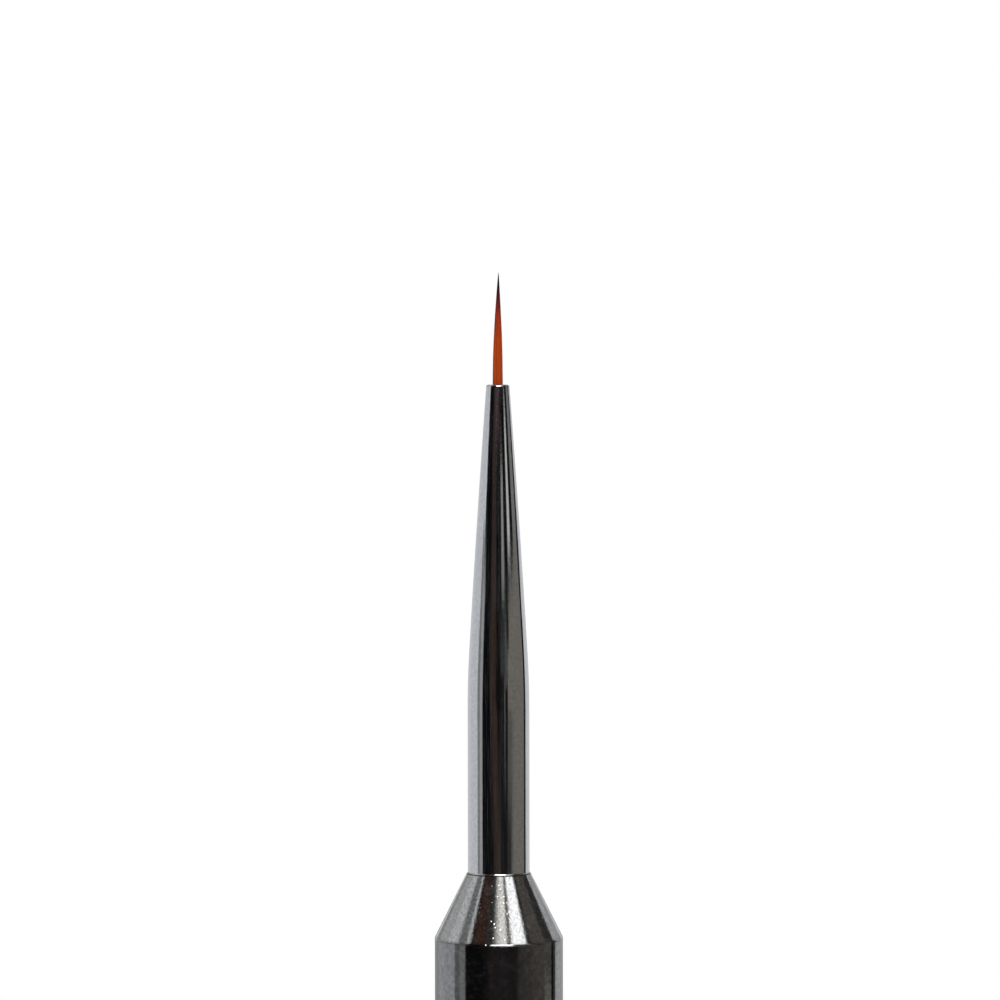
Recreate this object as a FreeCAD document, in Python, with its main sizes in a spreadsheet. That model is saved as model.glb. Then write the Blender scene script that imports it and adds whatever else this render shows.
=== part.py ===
import FreeCAD, Part
import os
import Sketcher
from math import atan2, hypot, sqrt

# Fine detail brush with a metal handle, in millimetres.
#
# The brush stands on its tail. +Z runs along its axis, from the flat tail face at z = 0 to the
# point of the hair. From the tip down it is a tapered tuft of filament, bound with thread and
# set in resin inside a drawn, tapered ferrule; a turned nose cone whose tenon the ferrule is
# glued over; a tube with a wooden core for the barrel; and a turned tail plug.

# The driving dimensions: alias, value, meaning.
DIMENSIONS = [
    ("total_length", 150.0, "tail face to the point of the hair"),
    ("hair_length", 8.8, "free hair, from the ferrule's mouth to the point"),
    ("hair_dia", 0.82, "tuft at the mouth"),
    ("hair_tip_dia", 0.05, "tuft at its point"),
    ("hair_belly", 129.0, "radius of the arc that the tuft's side follows"),
    ("flex_height", 0.5, "centre of the tuft's bend, above the mouth"),
    ("root_length", 7.0, "hair held inside the ferrule"),
    ("thread_dia", 0.14, "binding thread"),
    ("thread_pitch", 0.145, "rise of one turn of the binding"),
    ("thread_turns", 5.0, "turns of the binding"),
    ("thread_height", 0.7, "start of the binding, above the root's end"),
    ("resin_depth", 9.0, "bottom of the resin plug, below the mouth"),
    ("resin_recess", 0.4, "top of the resin plug, below the mouth"),
    ("ferrule_length", 38.15, "ferrule, from its mouth to its foot"),
    ("ferrule_dia", 4.8, "parallel stretch of the ferrule"),
    ("ferrule_wall", 0.3, "wall of the parallel stretch"),
    ("mouth_dia", 1.8, "outside of the ferrule's mouth"),
    ("mouth_bore", 1.0, "inside of the ferrule's mouth"),
    ("mouth_outer_round", 0.15, "rounding outside the mouth"),
    ("mouth_inner_round", 0.12, "rounding inside the mouth"),
    ("lip_length", 1.5, "straight bore behind the mouth"),
    ("taper_length", 25.37, "mouth to the parallel stretch of the ferrule"),
    ("taper_bulge", 1300.0, "radius of the arc that the taper's side follows"),
    ("blend_length", 4.62, "soft bend between the parallel stretch and the taper"),
    ("blend_radius", 77.0, "radius of that bend"),
    ("foot_length", 0.12, "flare at the ferrule's foot"),
    ("cone_length", 5.06, "nose cone, from the ferrule's foot to the barrel"),
    ("cone_tip_dia", 5.0, "nose cone under the ferrule's foot"),
    ("cone_land", 0.06, "parallel land at the cone's base"),
    ("cone_round", 0.2, "rounding between the cone and its land"),
    ("handle_dia", 10.0, "barrel, cone base and tail plug"),
    ("barrel_wall", 0.7, "wall of the barrel"),
    ("tenon_length", 12.0, "tenon that the ferrule is glued over"),
    ("spigot_length", 10.0, "spigots that the barrel is glued over"),
    ("spigot_lead", 0.4, "lead-in chamfer on tenon and spigots"),
    ("fit_gap", 0.02, "radial gap of a glued fit"),
    ("groove_width", 1.2, "glue groove"),
    ("groove_depth", 0.25, "glue groove"),
    ("groove_pitch", 3.6, "spacing of the glue grooves"),
    ("glue_gap", 0.01, "air left round cast glue and resin"),
    ("core_dia", 8.5, "wooden core"),
    ("core_pin_dia", 5.0, "turned-down ends of the core"),
    ("core_pin_length", 8.0, "turned-down ends of the core"),
    ("core_gap", 0.2, "gap between the core and each metal end"),
    ("drill_angle", 59.0, "half the angle of a drilled bore's end"),
    ("tail_length", 3.0, "tail plug outside the barrel"),
    ("tail_round", 1.2, "rounding of the tail's rim"),
    ("edge_break", 0.05, "edges broken at the two seams"),
]
SHEET = "dims"
GROOVES = {"rear": 1, "front": 2}

# Radii, as expressions that read the sheet.
HAIR_R = "dims.hair_dia / 2"
TIP_R = "dims.hair_tip_dia / 2"
FERRULE_R = "dims.ferrule_dia / 2"
FERRULE_BORE_R = "(dims.ferrule_dia / 2 - dims.ferrule_wall)"
MOUTH_R = "dims.mouth_dia / 2"
MOUTH_BORE_R = "dims.mouth_bore / 2"
BLEND_FALL = "(dims.blend_radius - sqrt(dims.blend_radius ^ 2 - dims.blend_length ^ 2))"
BLEND_R = f"({FERRULE_R} - {BLEND_FALL})"
FOOT_R = "dims.cone_tip_dia / 2"
HANDLE_R = "dims.handle_dia / 2"
BARREL_BORE_R = "(dims.handle_dia / 2 - dims.barrel_wall)"
TENON_R = f"({FERRULE_BORE_R} - dims.fit_gap)"
SPIGOT_R = f"({BARREL_BORE_R} - dims.fit_gap)"
CORE_R = "dims.core_dia / 2"
CORE_PIN_R = "dims.core_pin_dia / 2"
CORE_BORE_R = "(dims.core_pin_dia / 2 + dims.fit_gap)"
THREAD_R = "dims.thread_dia / 2"

# Heights along the brush.
POINT_Z = "dims.total_length"
MOUTH_Z = "(dims.total_length - dims.hair_length)"
FLEX_Z = f"({MOUTH_Z} + dims.flex_height)"
ROOT_END_Z = f"({MOUTH_Z} - dims.root_length)"
LIP_Z = f"({MOUTH_Z} - dims.lip_length)"
TAPER_Z = f"({MOUTH_Z} - dims.taper_length)"
BLEND_Z = f"({TAPER_Z} + dims.blend_length)"
SEAM_Z = f"({MOUTH_Z} - dims.ferrule_length)"
FOOT_TOP_Z = f"({SEAM_Z} + dims.foot_length)"
TENON_TOP_Z = f"({SEAM_Z} + dims.tenon_length)"
SHOULDER_Z = f"({SEAM_Z} - dims.cone_length)"
NOSE_END_Z = f"({SHOULDER_Z} - dims.spigot_length)"
TAIL_TOP_Z = "dims.tail_length"
TAIL_END_Z = f"({TAIL_TOP_Z} + dims.spigot_length)"

doc = FreeCAD.newDocument("detail_brush")
sheet = doc.addObject("Spreadsheet::Sheet", SHEET)
for row, (alias, size, meaning) in enumerate(DIMENSIONS, start=1):
    sheet.set(f"A{row}", alias)
    sheet.set(f"B{row}", str(size))
    sheet.setAlias(f"B{row}", alias)
    sheet.set(f"C{row}", meaning)
doc.recompute()


def value(expression):
    """The number that an expression has now."""
    return float(sheet.evalExpression(expression))


def new_body(label):
    """An empty body that is exported under its label."""
    body = doc.addObject("PartDesign::Body", label)
    body.Label = label
    return body


def axial_sketch(body, name):
    """A sketch on the body's own XZ plane: its x is the radius and its y the height."""
    plane = next(o for o in body.Origin.OriginFeatures if o.Role == "XZ_Plane")
    sketch = body.newObject("Sketcher::SketchObject", name)
    sketch.AttachmentSupport = [(plane, "")]
    sketch.MapMode = "FlatFace"
    return sketch


def edge_geometry(start, end, radius):
    """A straight edge, or a counter-clockwise arc of that radius, between two points."""
    if radius is None:
        return Part.LineSegment(FreeCAD.Vector(*start, 0), FreeCAD.Vector(*end, 0))
    chord_r, chord_z = end[0] - start[0], end[1] - start[1]
    chord = hypot(chord_r, chord_z)
    reach = sqrt(radius**2 - (chord / 2) ** 2) / chord
    centre_r = (start[0] + end[0]) / 2 - chord_z * reach
    centre_z = (start[1] + end[1]) / 2 + chord_r * reach
    circle = Part.Circle(FreeCAD.Vector(centre_r, centre_z, 0), FreeCAD.Vector(0, 0, 1), radius)
    first = atan2(start[1] - centre_z, start[0] - centre_r)
    last = atan2(end[1] - centre_z, end[0] - centre_r)
    return Part.ArcOfCircle(circle, first, last)


def place_point(sketch, edge, name, r, z):
    """Ties the start of an edge to its radius and its height, each an expression."""
    for kind, axis, key, expression in (
        ("DistanceX", -2, f"{name}_r", r),
        ("DistanceY", -1, f"{name}_z", z),
    ):
        size = value(expression)
        if size == 0:
            sketch.addConstraint(Sketcher.Constraint("PointOnObject", edge, 1, axis))
            continue
        index = sketch.addConstraint(Sketcher.Constraint(kind, -1, 1, edge, 1, size))
        sketch.renameConstraint(index, key)
        sketch.setExpression(f"Constraints.{key}", expression)


def draw_outline(sketch, corners, prefix="p"):
    """Draws a closed outline, counter-clockwise as radius against height.

    Each corner is (radius, height) or, where an arc leads on to the next corner, (radius,
    height, arc radius), all of them expressions.
    """
    places = [(value(corner[0]), value(corner[1])) for corner in corners]
    first = sketch.GeometryCount
    for index, corner in enumerate(corners):
        radius = value(corner[2]) if len(corner) == 3 else None
        following = places[(index + 1) % len(places)]
        sketch.addGeometry(edge_geometry(places[index], following, radius), False)
    for index, corner in enumerate(corners):
        edge = first + index
        following = first + (index + 1) % len(corners)
        sketch.addConstraint(Sketcher.Constraint("Coincident", edge, 2, following, 1))
        place_point(sketch, edge, f"{prefix}{index}", corner[0], corner[1])
        if len(corner) == 3:
            key = f"{prefix}{index}_arc"
            arc = sketch.addConstraint(Sketcher.Constraint("Radius", edge, value(corner[2])))
            sketch.renameConstraint(arc, key)
            sketch.setExpression(f"Constraints.{key}", corner[2])


def revolve(body, name, corners):
    """Turns an outline about the brush's axis into the body's first solid."""
    sketch = axial_sketch(body, f"{name}_outline")
    draw_outline(sketch, corners)
    turned = body.newObject("PartDesign::Revolution", name)
    turned.Profile = (sketch, [""])
    turned.ReferenceAxis = (sketch, ["V_Axis"])
    turned.Angle = 360.0
    doc.recompute()
    return turned


def cut_grooves(body, name, radius, start):
    """Turns the two square glue grooves above start into the body, as a lathe tool would."""
    before = body.Shape.Volume
    sketch = axial_sketch(body, f"{name}_outline")
    inner = f"{radius} - dims.groove_depth"
    outer = f"{radius} + dims.groove_depth"
    for number in GROOVES.values():
        low = groove_height(start, number)
        high = f"{low} + dims.groove_width"
        corners = [(inner, low), (outer, low), (outer, high), (inner, high)]
        draw_outline(sketch, corners, prefix=f"g{number}p")
    groove = body.newObject("PartDesign::Groove", name)
    groove.Profile = (sketch, [""])
    groove.ReferenceAxis = (sketch, ["V_Axis"])
    groove.Angle = 360.0
    doc.recompute()
    if body.Shape.Volume >= before:
        raise RuntimeError(f"{name} cut nothing from {body.Label}")


def rim(feature, radius, height):
    """The name of the feature's circular edge of that radius at that height."""
    for number, edge in enumerate(feature.Shape.Edges, start=1):
        curve = edge.Curve
        if isinstance(curve, Part.Circle):
            same_size = abs(curve.Radius - value(radius)) < 1e-6
            if same_size and abs(curve.Center.z - value(height)) < 1e-6:
                return f"Edge{number}"
    raise RuntimeError(f"{feature.Label} has no rim of radius {radius} at {height}")


def dress_rim(body, kind, name, radius, height, size):
    """Rounds ("Fillet") or bevels ("Chamfer") one rim of the body by a size from the sheet."""
    base = body.Tip
    dressed = body.newObject(f"PartDesign::{kind}", name)
    dressed.Base = (base, [rim(base, radius, height)])
    size_name = {"Fillet": "Radius", "Chamfer": "Size"}[kind]
    setattr(dressed, size_name, value(size))
    dressed.setExpression(size_name, size)
    doc.recompute()


def groove_height(start, number):
    """The lower edge of a glue groove, which stands that number of pitches above start."""
    return f"({start} + {number} * dims.groove_pitch - dims.groove_width)"


def make_glue_ring(label, radius, bore, low):
    """The ring of set glue in one groove, reaching from its bottom to the bore round it."""
    tubes = []
    for name, expression in (
        ("outside", f"{bore} - dims.glue_gap"),
        ("inside", f"{radius} - dims.groove_depth + dims.glue_gap"),
    ):
        tube = doc.addObject("Part::Cylinder", f"{label}_{name}")
        tube.setExpression("Radius", expression)
        tube.setExpression("Height", "dims.groove_width - 2 * dims.glue_gap")
        tube.setExpression("Placement.Base.z", f"{low} + dims.glue_gap")
        tubes.append(tube)
    ring = doc.addObject("Part::Cut", label)
    ring.Label = label
    ring.Base, ring.Tool = tubes
    doc.recompute()
    return ring


def make_hair_tuft():
    """The free hair: a slender, slightly bellied point on a round heel.

    The heel is a ball about the bend's centre, so that the tuft clears the mouth as it leans.
    """
    body = new_body("hair_tuft")
    revolve(body, "tuft", [
        ("0", f"{FLEX_Z} - {HAIR_R}", HAIR_R),
        (HAIR_R, FLEX_Z, "dims.hair_belly"),
        (TIP_R, POINT_Z),
        ("0", POINT_Z),
    ])
    return body


def make_hair_root():
    """The hair inside the ferrule, a straight bundle up to the mouth."""
    body = new_body("hair_root")
    revolve(body, "root", [
        ("0", ROOT_END_Z),
        (HAIR_R, ROOT_END_Z),
        (HAIR_R, MOUTH_Z),
        ("0", MOUTH_Z),
    ])
    return body


def make_root_thread():
    """The thread wound round the root: a helix swept with a round section."""
    wound_r = f"({HAIR_R} + {THREAD_R} + dims.glue_gap)"
    start_z = f"{ROOT_END_Z} + dims.thread_height"
    path = doc.addObject("Part::Helix", "thread_path")
    path.setExpression("Radius", wound_r)
    path.setExpression("Pitch", "dims.thread_pitch")
    path.setExpression("Height", "dims.thread_pitch * dims.thread_turns")
    path.setExpression("Placement.Base.z", start_z)
    section = doc.addObject("Part::Circle", "thread_section")
    section.setExpression("Radius", THREAD_R)
    section.setExpression("Placement.Base.x", wound_r)
    section.setExpression("Placement.Base.z", start_z)
    section.Placement.Rotation = FreeCAD.Rotation(FreeCAD.Vector(1, 0, 0), 90)
    thread = doc.addObject("Part::Sweep", "root_thread")
    thread.Label = "root_thread"
    thread.Sections = [section]
    thread.Spine = (path, [])
    thread.Solid = True
    thread.Frenet = True
    doc.recompute()
    return thread


def make_root_resin():
    """The resin plug that fills the ferrule round and behind the bound root."""
    wall_share = "(dims.resin_depth - dims.lip_length) / (dims.taper_length - dims.lip_length)"
    foot_r = f"{MOUTH_BORE_R} + ({FERRULE_BORE_R} - {MOUTH_BORE_R}) * {wall_share} - dims.glue_gap"
    neck_r = f"{MOUTH_BORE_R} - dims.glue_gap"
    root_r = f"({HAIR_R} + dims.glue_gap)"
    binding_r = f"({root_r} + dims.thread_dia + 2 * dims.glue_gap)"
    binding_low = f"({ROOT_END_Z} + dims.thread_height - dims.thread_dia)"
    wound = "dims.thread_pitch * dims.thread_turns + 2 * dims.thread_dia"
    binding_high = f"({binding_low} + {wound})"
    body = new_body("root_resin")
    revolve(body, "resin", [
        ("0", f"{MOUTH_Z} - dims.resin_depth"),
        (foot_r, f"{MOUTH_Z} - dims.resin_depth"),
        (neck_r, LIP_Z),
        (neck_r, f"{MOUTH_Z} - dims.resin_recess"),
        (root_r, f"{MOUTH_Z} - dims.resin_recess"),
        (root_r, binding_high),
        (binding_r, binding_high),
        (binding_r, binding_low),
        (root_r, binding_low),
        (root_r, f"{ROOT_END_Z} - dims.glue_gap"),
        ("0", f"{ROOT_END_Z} - dims.glue_gap"),
    ])
    return body


def make_ferrule():
    """The drawn tube: a long taper, a soft bend into a parallel stretch, and a flared foot."""
    body = new_body("ferrule")
    revolve(body, "tube", [
        (FOOT_R, SEAM_Z),
        (FERRULE_R, FOOT_TOP_Z),
        (FERRULE_R, TAPER_Z, "dims.blend_radius"),
        (BLEND_R, BLEND_Z, "dims.taper_bulge"),
        (MOUTH_R, MOUTH_Z),
        (MOUTH_BORE_R, MOUTH_Z),
        (MOUTH_BORE_R, LIP_Z),
        (FERRULE_BORE_R, TAPER_Z),
        (FERRULE_BORE_R, FOOT_TOP_Z),
        (f"{FOOT_R} - dims.ferrule_wall", SEAM_Z),
    ])
    dress_rim(body, "Fillet", "mouth_outside", MOUTH_R, MOUTH_Z, "dims.mouth_outer_round")
    dress_rim(body, "Fillet", "mouth_inside", MOUTH_BORE_R, MOUTH_Z, "dims.mouth_inner_round")
    dress_rim(body, "Chamfer", "foot_edge", FOOT_R, SEAM_Z, "dims.edge_break")
    return body


def drilled_depth(mouth, direction):
    """The corner and the tip of a drilled bore for the core's pin: two heights.

    direction is +1 where the drill goes up from the mouth and -1 where it goes down.
    """
    corner = f"({mouth} + {direction} * (dims.core_pin_length + dims.core_gap))"
    tip = f"({corner} + {direction} * {CORE_BORE_R} / tan(dims.drill_angle))"
    return corner, tip


def make_nose_cone():
    """The turned nose: a tenon for the ferrule, the cone, and a drilled spigot for the barrel."""
    lead = "dims.spigot_lead"
    bore_end, bore_tip = drilled_depth(NOSE_END_Z, 1)
    land_z = f"{SHOULDER_Z} + dims.cone_land"
    body = new_body("nose_cone")
    revolve(body, "cone", [
        (CORE_BORE_R, NOSE_END_Z),
        (f"{SPIGOT_R} - {lead}", NOSE_END_Z),
        (SPIGOT_R, f"{NOSE_END_Z} + {lead}"),
        (SPIGOT_R, SHOULDER_Z),
        (HANDLE_R, SHOULDER_Z),
        (HANDLE_R, land_z),
        (FOOT_R, SEAM_Z),
        (TENON_R, SEAM_Z),
        (TENON_R, f"{TENON_TOP_Z} - {lead}"),
        (f"{TENON_R} - {lead}", TENON_TOP_Z),
        ("0", TENON_TOP_Z),
        ("0", bore_tip),
        (CORE_BORE_R, bore_end),
    ])
    cut_grooves(body, "tenon_grooves", TENON_R, SEAM_Z)
    cut_grooves(body, "spigot_grooves", SPIGOT_R, NOSE_END_Z)
    dress_rim(body, "Fillet", "cone_base", HANDLE_R, land_z, "dims.cone_round")
    dress_rim(body, "Chamfer", "seam_edge", FOOT_R, SEAM_Z, "dims.edge_break")
    return body


def make_barrel():
    """The handle's tube, from the tail plug to the nose cone."""
    body = new_body("barrel")
    revolve(body, "tube", [
        (BARREL_BORE_R, TAIL_TOP_Z),
        (HANDLE_R, TAIL_TOP_Z),
        (HANDLE_R, SHOULDER_Z),
        (BARREL_BORE_R, SHOULDER_Z),
    ])
    dress_rim(body, "Chamfer", "front_edge", HANDLE_R, SHOULDER_Z, "dims.edge_break")
    dress_rim(body, "Chamfer", "rear_edge", HANDLE_R, TAIL_TOP_Z, "dims.edge_break")
    return body


def make_core_rod():
    """The wooden core, with an end turned down to a pin for each metal end piece."""
    low = f"({TAIL_END_Z} + dims.core_gap)"
    high = f"({NOSE_END_Z} - dims.core_gap)"
    body = new_body("core_rod")
    revolve(body, "core", [
        ("0", f"{low} - dims.core_pin_length"),
        (CORE_PIN_R, f"{low} - dims.core_pin_length"),
        (CORE_PIN_R, low),
        (CORE_R, low),
        (CORE_R, high),
        (CORE_PIN_R, high),
        (CORE_PIN_R, f"{high} + dims.core_pin_length"),
        ("0", f"{high} + dims.core_pin_length"),
    ])
    return body


def make_tail_plug():
    """The turned tail: a flat, round-edged end and a drilled spigot for the barrel."""
    lead = "dims.spigot_lead"
    bore_end, bore_tip = drilled_depth(TAIL_END_Z, -1)
    body = new_body("tail_plug")
    revolve(body, "plug", [
        ("0", "0"),
        (HANDLE_R, "0"),
        (HANDLE_R, TAIL_TOP_Z),
        (SPIGOT_R, TAIL_TOP_Z),
        (SPIGOT_R, f"{TAIL_END_Z} - {lead}"),
        (f"{SPIGOT_R} - {lead}", TAIL_END_Z),
        (CORE_BORE_R, TAIL_END_Z),
        (CORE_BORE_R, bore_end),
        ("0", bore_tip),
    ])
    cut_grooves(body, "spigot_grooves", SPIGOT_R, TAIL_TOP_Z)
    dress_rim(body, "Fillet", "tail_rim", HANDLE_R, "0", "dims.tail_round")
    dress_rim(body, "Chamfer", "front_edge", HANDLE_R, TAIL_TOP_Z, "dims.edge_break")
    return body


pieces = [
    make_hair_tuft(),
    make_hair_root(),
    make_root_thread(),
    make_root_resin(),
    make_ferrule(),
    make_nose_cone(),
    make_barrel(),
    make_core_rod(),
    make_tail_plug(),
]
for joint, radius, bore, start in (
    ("ferrule", TENON_R, FERRULE_BORE_R, SEAM_Z),
    ("nose", SPIGOT_R, BARREL_BORE_R, NOSE_END_Z),
    ("tail", SPIGOT_R, BARREL_BORE_R, TAIL_TOP_Z),
):
    for place, number in GROOVES.items():
        label = f"{joint}_glue_{place}"
        pieces.append(make_glue_ring(label, radius, bore, groove_height(start, number)))
doc.recompute()

for item in doc.Objects:
    if {"Invalid", "Error"} & set(item.State):
        raise RuntimeError(f"{item.Label} failed: {item.State}")
for piece in pieces:
    shape = piece.Shape
    if shape.isNull() or not shape.isValid() or not shape.Solids:
        raise RuntimeError(f"{piece.Label} has no valid solid")

os.makedirs("parts", exist_ok=True)
for piece in pieces:
    piece.Shape.exportStep(f"parts/{piece.Label}.step")
    box = piece.Shape.optimalBoundingBox(True, False)
    print(
        f"{piece.Label:18s} {piece.Shape.Volume:9.3f} mm3"
        f"  z {box.ZMin:7.2f} to {box.ZMax:7.2f}  across {box.XLength:5.2f}"
    )
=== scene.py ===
"""A fine detail brush with a plated metal handle, dressed for its studio portrait.

Lengths in the dataclasses are in millimetres and are turned to metres where a mesh is made.
"""

import logging
import math
from dataclasses import dataclass, replace
from enum import Enum
from typing import Any, Sequence

import bpy
import numpy as np
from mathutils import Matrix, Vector


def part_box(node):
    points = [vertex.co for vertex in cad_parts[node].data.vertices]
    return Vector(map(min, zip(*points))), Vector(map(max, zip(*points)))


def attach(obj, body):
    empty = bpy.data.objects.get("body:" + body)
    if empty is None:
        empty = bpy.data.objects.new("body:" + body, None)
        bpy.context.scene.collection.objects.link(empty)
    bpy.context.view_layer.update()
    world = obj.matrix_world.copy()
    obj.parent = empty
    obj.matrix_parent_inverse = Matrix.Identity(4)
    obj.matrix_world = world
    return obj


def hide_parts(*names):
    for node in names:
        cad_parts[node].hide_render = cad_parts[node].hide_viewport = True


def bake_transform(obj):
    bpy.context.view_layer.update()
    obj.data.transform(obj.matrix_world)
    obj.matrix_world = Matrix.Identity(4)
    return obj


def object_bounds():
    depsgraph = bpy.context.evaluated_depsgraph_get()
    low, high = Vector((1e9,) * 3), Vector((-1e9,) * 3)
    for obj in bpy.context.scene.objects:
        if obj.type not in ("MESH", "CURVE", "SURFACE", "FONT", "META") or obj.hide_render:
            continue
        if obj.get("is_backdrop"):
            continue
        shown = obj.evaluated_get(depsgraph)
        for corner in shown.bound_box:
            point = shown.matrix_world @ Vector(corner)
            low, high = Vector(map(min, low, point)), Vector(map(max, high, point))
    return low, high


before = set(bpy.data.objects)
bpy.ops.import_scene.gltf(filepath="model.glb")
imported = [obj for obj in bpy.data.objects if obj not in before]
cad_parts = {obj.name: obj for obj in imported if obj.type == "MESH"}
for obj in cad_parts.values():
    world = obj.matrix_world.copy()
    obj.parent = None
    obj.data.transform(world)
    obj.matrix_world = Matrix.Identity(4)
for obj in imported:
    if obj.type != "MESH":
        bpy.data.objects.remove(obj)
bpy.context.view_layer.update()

Tree = bpy.types.NodeTree
Socket = bpy.types.NodeSocket
Colour = tuple[float, float, float, float]
Source = Socket | float | Colour
Pair = tuple[float, float]

MM = 0.001
GOLDEN_ANGLE = math.pi * (3 - math.sqrt(5))
ARC_STEP = 8.0  # largest turn between two points of a rounding, in degrees
HOLD = 0.02  # distance from a rounding to the point that keeps the face next to it true, in mm
HOLLOW_SPAN = (0.33, 0.67)  # the grain's noise, from the deepest hollow to none
DUST_SPAN = (0.45, 0.75)  # the dust's noise, from clean plate to its full haze
SMUDGE_SPAN = (0.35, 0.7)  # the smudges' noise, from the sharpest patch to the dullest

log = logging.getLogger("detail_brush")


# --------------------------------------------------------------------------------------
# Small tools
# --------------------------------------------------------------------------------------


def to_linear(hex_colour: str) -> Colour:
    """Turns an sRGB hex colour into linear RGBA.

    Args:
        hex_colour: six digits after a hash, such as "#842e08".

    Returns:
        Linear red, green and blue from 0 to 1, and an alpha of 1.
    """
    share = np.array([int(hex_colour[i : i + 2], 16) for i in (1, 3, 5)]) / 255
    linear = np.where(share <= 0.04045, share / 12.92, ((share + 0.055) / 1.055) ** 2.4)
    return (*linear.tolist(), 1.0)


def per(size_mm: float) -> float:
    """The scale of a texture read in metres whose features are size_mm across."""
    return 1 / (size_mm * MM)


def add_node(
    tree: Tree, kind: str, inputs: dict[int | str, Any] | None = None, **settings: Any
) -> bpy.types.Node:
    """Adds a node, sets it up and links it.

    Args:
        tree: the node tree to add to.
        kind: the node's type, such as "ShaderNodeMath".
        inputs: for each input's name or number, a value or the output socket to link from.
        **settings: the node's own properties.

    Returns:
        The new node.
    """
    node = tree.nodes.new(kind)
    for name, setting in settings.items():
        setattr(node, name, setting)
    for key, source in (inputs or {}).items():
        if isinstance(source, bpy.types.NodeSocket):
            tree.links.new(source, node.inputs[key])
        else:
            node.inputs[key].default_value = source
    return node


def maths(tree: Tree, operation: str, *terms: Source) -> Socket:
    """Does one step of arithmetic.

    Args:
        tree: the node tree to add to.
        operation: the Math node's operation, such as "SUBTRACT".
        *terms: the figures or sockets that it works on.

    Returns:
        The result's socket.
    """
    return add_node(tree, "ShaderNodeMath", dict(enumerate(terms)), operation=operation).outputs[0]


def remap(
    tree: Tree, source: Source, span: Pair, onto: Pair = (0.0, 1.0), smooth: bool = True
) -> Socket:
    """Maps one span of figures onto another and holds it at the ends.

    Args:
        tree: the node tree to add to.
        source: the socket to read.
        span: the two ends of what is read.
        onto: what they become.
        smooth: True to ease in and out, False for a straight line.

    Returns:
        The result's socket.
    """
    ends = {"From Min": span[0], "From Max": span[1], "To Min": onto[0], "To Max": onto[1]}
    kind = "SMOOTHSTEP" if smooth else "LINEAR"
    return add_node(
        tree, "ShaderNodeMapRange", {"Value": source, **ends}, interpolation_type=kind
    ).outputs[0]


def mix_colours(tree: Tree, share: Source, first: Source, second: Source) -> Socket:
    """Mixes two colours.

    Args:
        tree: the node tree to add to.
        share: how much of the second there is, from 0 to 1.
        first: the first colour.
        second: the second colour.

    Returns:
        The mixed colour's socket.
    """
    return add_node(
        tree, "ShaderNodeMix", {0: share, 6: first, 7: second}, data_type="RGBA"
    ).outputs[2]


def noise(
    tree: Tree, place: Socket, scale: float, detail: float, roughness: float = 0.5
) -> Socket:
    """Reads a cloud of noise.

    Args:
        tree: the node tree to add to.
        place: the coordinates.
        scale: how many features there are to a unit of them.
        detail: how many finer layers it has.
        roughness: how strong each layer is next to the one before.

    Returns:
        The noise's socket, from 0 to 1.
    """
    inputs = {"Vector": place, "Scale": scale, "Detail": detail, "Roughness": roughness}
    return add_node(tree, "ShaderNodeTexNoise", inputs).outputs[0]


def bump(
    tree: Tree, height: Socket, depth: float, strength: float = 1.0, under: Socket | None = None
) -> Socket:
    """Bends the normal by a height.

    Args:
        tree: the node tree to add to.
        height: the height's socket, from 0 to 1.
        depth: how far up 1 is, in mm.
        strength: how much of it shows.
        under: the normal that it stands on, if not the surface's own.

    Returns:
        The new normal's socket.
    """
    inputs = {"Height": height, "Distance": depth * MM, "Strength": strength}
    if under is not None:
        inputs["Normal"] = under
    return add_node(tree, "ShaderNodeBump", inputs).outputs[0]


def new_material(name: str) -> tuple[bpy.types.Material, Tree]:
    """An empty node material.

    Args:
        name: the material's name.

    Returns:
        The material and its node tree, with nothing in it.
    """
    material = bpy.data.materials.new(name)
    material.use_nodes = True
    material.node_tree.nodes.clear()
    return material, material.node_tree


def finish_material(tree: Tree, shader: bpy.types.Node) -> None:
    """Links a shader to the tree's output."""
    add_node(tree, "ShaderNodeOutputMaterial", {"Surface": shader.outputs[0]})


def finish_principled(tree: Tree, inputs: dict[int | str, Any]) -> None:
    """Ends a material with a Principled shader that has these inputs."""
    finish_material(tree, add_node(tree, "ShaderNodeBsdfPrincipled", inputs))


def add_object(name: str, data: bpy.types.ID) -> bpy.types.Object:
    """Puts a new object in the scene.

    Args:
        name: its name.
        data: its mesh, lamp or camera.

    Returns:
        The object, at the origin.
    """
    piece = bpy.data.objects.new(name, data)
    bpy.context.scene.collection.objects.link(piece)
    return piece


# --------------------------------------------------------------------------------------
# Turned shapes
# --------------------------------------------------------------------------------------


@dataclass(frozen=True)
class Corner:
    """One corner of a turned section.

    Attributes:
        radius: distance from the brush's axis, in mm.
        height: height above the tail face, in mm.
        rounding: radius of the rounding at this corner, in mm; 0 leaves it sharp.
        belly: how far the edge to the next corner bows outwards at its middle, in mm.
    """

    radius: float
    height: float
    rounding: float = 0.0
    belly: float = 0.0


def bowed_edge(start: np.ndarray, end: np.ndarray, belly: float, spacing: float) -> np.ndarray:
    """Points along an edge of a section.

    A point at share u of the edge lies on the chord, pushed to the chord's right by
    4 * belly * u * (1 - u), which is a shallow arc.

    Args:
        start: the edge's first point, radius and height.
        end: its last point.
        belly: the push at the middle, in mm.
        spacing: the largest distance between two points, in mm.

    Returns:
        An array of points, the ends among them.
    """
    chord = end - start
    length = np.hypot(*chord)
    steps = max(1, math.ceil(length / (spacing if belly == 0 else spacing / 4)))
    share = np.linspace(0, 1, steps + 1)[:, None]
    outwards = np.array([chord[1], -chord[0]]) / length
    return start + chord * share + outwards * 4 * belly * share * (1 - share)


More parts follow.
